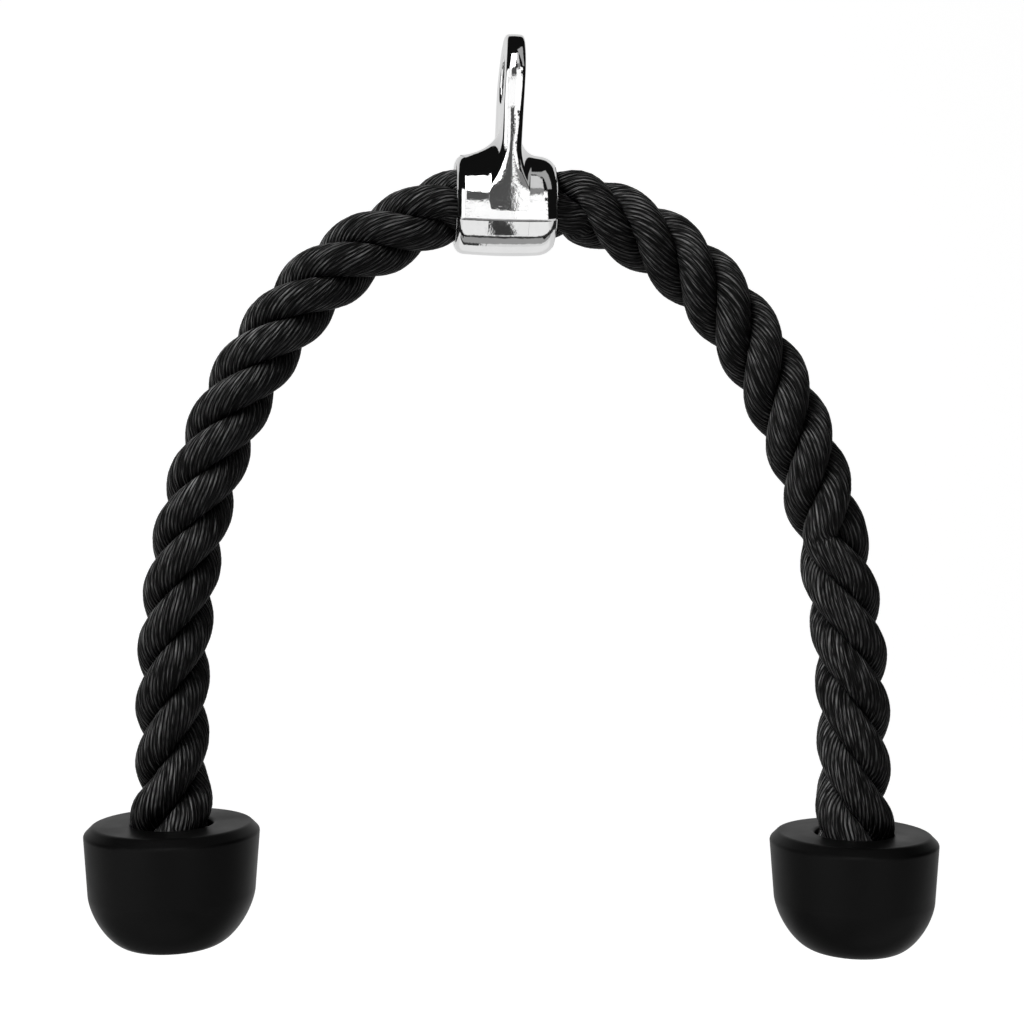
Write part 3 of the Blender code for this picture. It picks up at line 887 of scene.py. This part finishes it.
def finish_steel(material):
    for kind in ("washer_", "ferrule_", "ferrule_pin_"):
        for side in ("left", "right"):
            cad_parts[kind + side].data.materials.clear()
            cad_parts[kind + side].data.materials.append(material)


def add_camera():
    camera = in_scene("camera", bpy.data.cameras.new("camera"))
    forward = Vector((math.sin(camera_turn), math.cos(camera_turn), 0))
    camera.location = camera_target - forward * camera_distance
    camera.rotation_euler = (math.radians(90), 0, -camera_turn)
    camera.data.lens = camera_lens
    camera.data.clip_start = 0.01
    bpy.context.scene.camera = camera


def add_softbox(name, left, right, low, high, radiance):
    """A rectangular lamp that faces the hanger and fills these angles as seen from it.

    Left and right are turned from the front, positive to the right; low and high are from the level.
    """
    turn = math.radians((left + right) / 2)
    rise = math.radians((low + high) / 2)
    away = Vector((math.sin(turn) * math.cos(rise), -math.cos(turn) * math.cos(rise), math.sin(rise)))
    lamp = bpy.data.lights.new(name, "AREA")
    lamp.shape = "RECTANGLE"
    lamp.size = 2 * softbox_distance * math.cos(rise) * math.tan(math.radians(right - left) / 2)
    lamp.size_y = 2 * softbox_distance * math.tan(math.radians(high - low) / 2)
    lamp.energy = radiance * math.pi * lamp.size * lamp.size_y
    light = in_scene(name, lamp)
    light.location = Vector((0, 0, -eye_to_barrel)) + away * softbox_distance
    light.rotation_euler = away.to_track_quat("Z", "Y").to_euler()
    light.visible_camera = False
    return light


def add_studio():
    scene = bpy.context.scene
    scene.view_settings.view_transform = "Standard"
    world = bpy.data.worlds.new("studio")
    scene.world = world
    world.use_nodes = True
    tree = world.node_tree
    path = add_node(tree, "ShaderNodeLightPath")
    tree.nodes["Background"].inputs["Color"].default_value = grey(1.0)
    tree.links.new(stretch(tree, path.outputs["Is Camera Ray"], 0, 1, world_light, 1.0),
                   tree.nodes["Background"].inputs["Strength"])
    add_softbox(*rope_lamp).visible_glossy = False
    for softbox in softboxes:
        add_softbox(*softbox).visible_diffuse = False
    add_floor()
    for card in floor_cards:
        add_floor_card(*card)


def sheet_of(form, profile, half_width):
    """A sheet that follows a profile of (y, z) between two sides."""
    verts = [form.verts.new((-half_width, y, z)) for y, z in profile]
    edges = [form.edges.new(pair) for pair in zip(verts, verts[1:])]
    far = bmesh.ops.extrude_edge_only(form, edges=edges)["geom"]
    bmesh.ops.translate(form, verts=[v for v in far if isinstance(v, bmesh.types.BMVert)],
                        vec=(2 * half_width, 0, 0))


def add_floor():
    """A pale floor that sweeps up behind the object."""
    form = bmesh.new()
    profile = [(-floor_front, floor_level)]
    for turn in quarter_turn(sweep_steps):
        profile.append((floor_back - sweep_radius * (1 - math.sin(turn)),
                        floor_level + sweep_radius * (1 - math.cos(turn))))
    profile.append((floor_back, floor_level + sweep_height))
    sheet_of(form, profile, floor_half_width)
    bmesh.ops.recalc_face_normals(form, faces=form.faces)
    sweep = new_object("floor_sweep", form)
    material, tree, shader = new_material("pale_floor", floor_roughness)
    shader.inputs["Base Color"].default_value = grey(floor_grey)
    shader.inputs["Emission Color"].default_value = grey(1.0)
    path = add_node(tree, "ShaderNodeLightPath")
    shown = math_node(tree, "ADD", math_node(tree, "MULTIPLY", path.outputs["Is Camera Ray"], floor_seen),
                      math_node(tree, "MULTIPLY", path.outputs["Is Glossy Ray"], floor_reflected))
    tree.links.new(shown, shader.inputs["Emission Strength"])
    sweep.data.materials.append(material)


def add_floor_card(name, left, right, front, back, brightness):
    form = bmesh.new()
    bmesh.ops.create_grid(form, x_segments=1, y_segments=1, size=0.5,
                          matrix=Matrix.Translation(((left + right) / 2, (front + back) / 2,
                                                     floor_level + card_height))
                          @ Matrix.Diagonal((right - left, back - front, 1, 1)))
    card = new_object(name, form)
    material, tree, shader = new_material(name + "_paper", card_roughness, specular=card_specular)
    shader.inputs["Base Color"].default_value = grey(card_grey)
    shader.inputs["Emission Color"].default_value = grey(1.0)
    shader.inputs["Emission Strength"].default_value = brightness
    card.data.materials.append(material)
    card.visible_camera = False
    card.visible_diffuse = False
    card.visible_shadow = False


grain = fine_grain_group()
add_camera()
add_rope(rope_material(yarn_fibres_group()))
add_hanger(chrome_material(grain))
add_stoppers(rubber_material(grain, "black_rubber", dark=0.0022, light=0.0055, roughness=0.42),
             rubber_material(grain, "black_plug_rubber", dark=0.004, light=0.008, roughness=0.50))
finish_steel(zinc_material(grain))
add_studio()
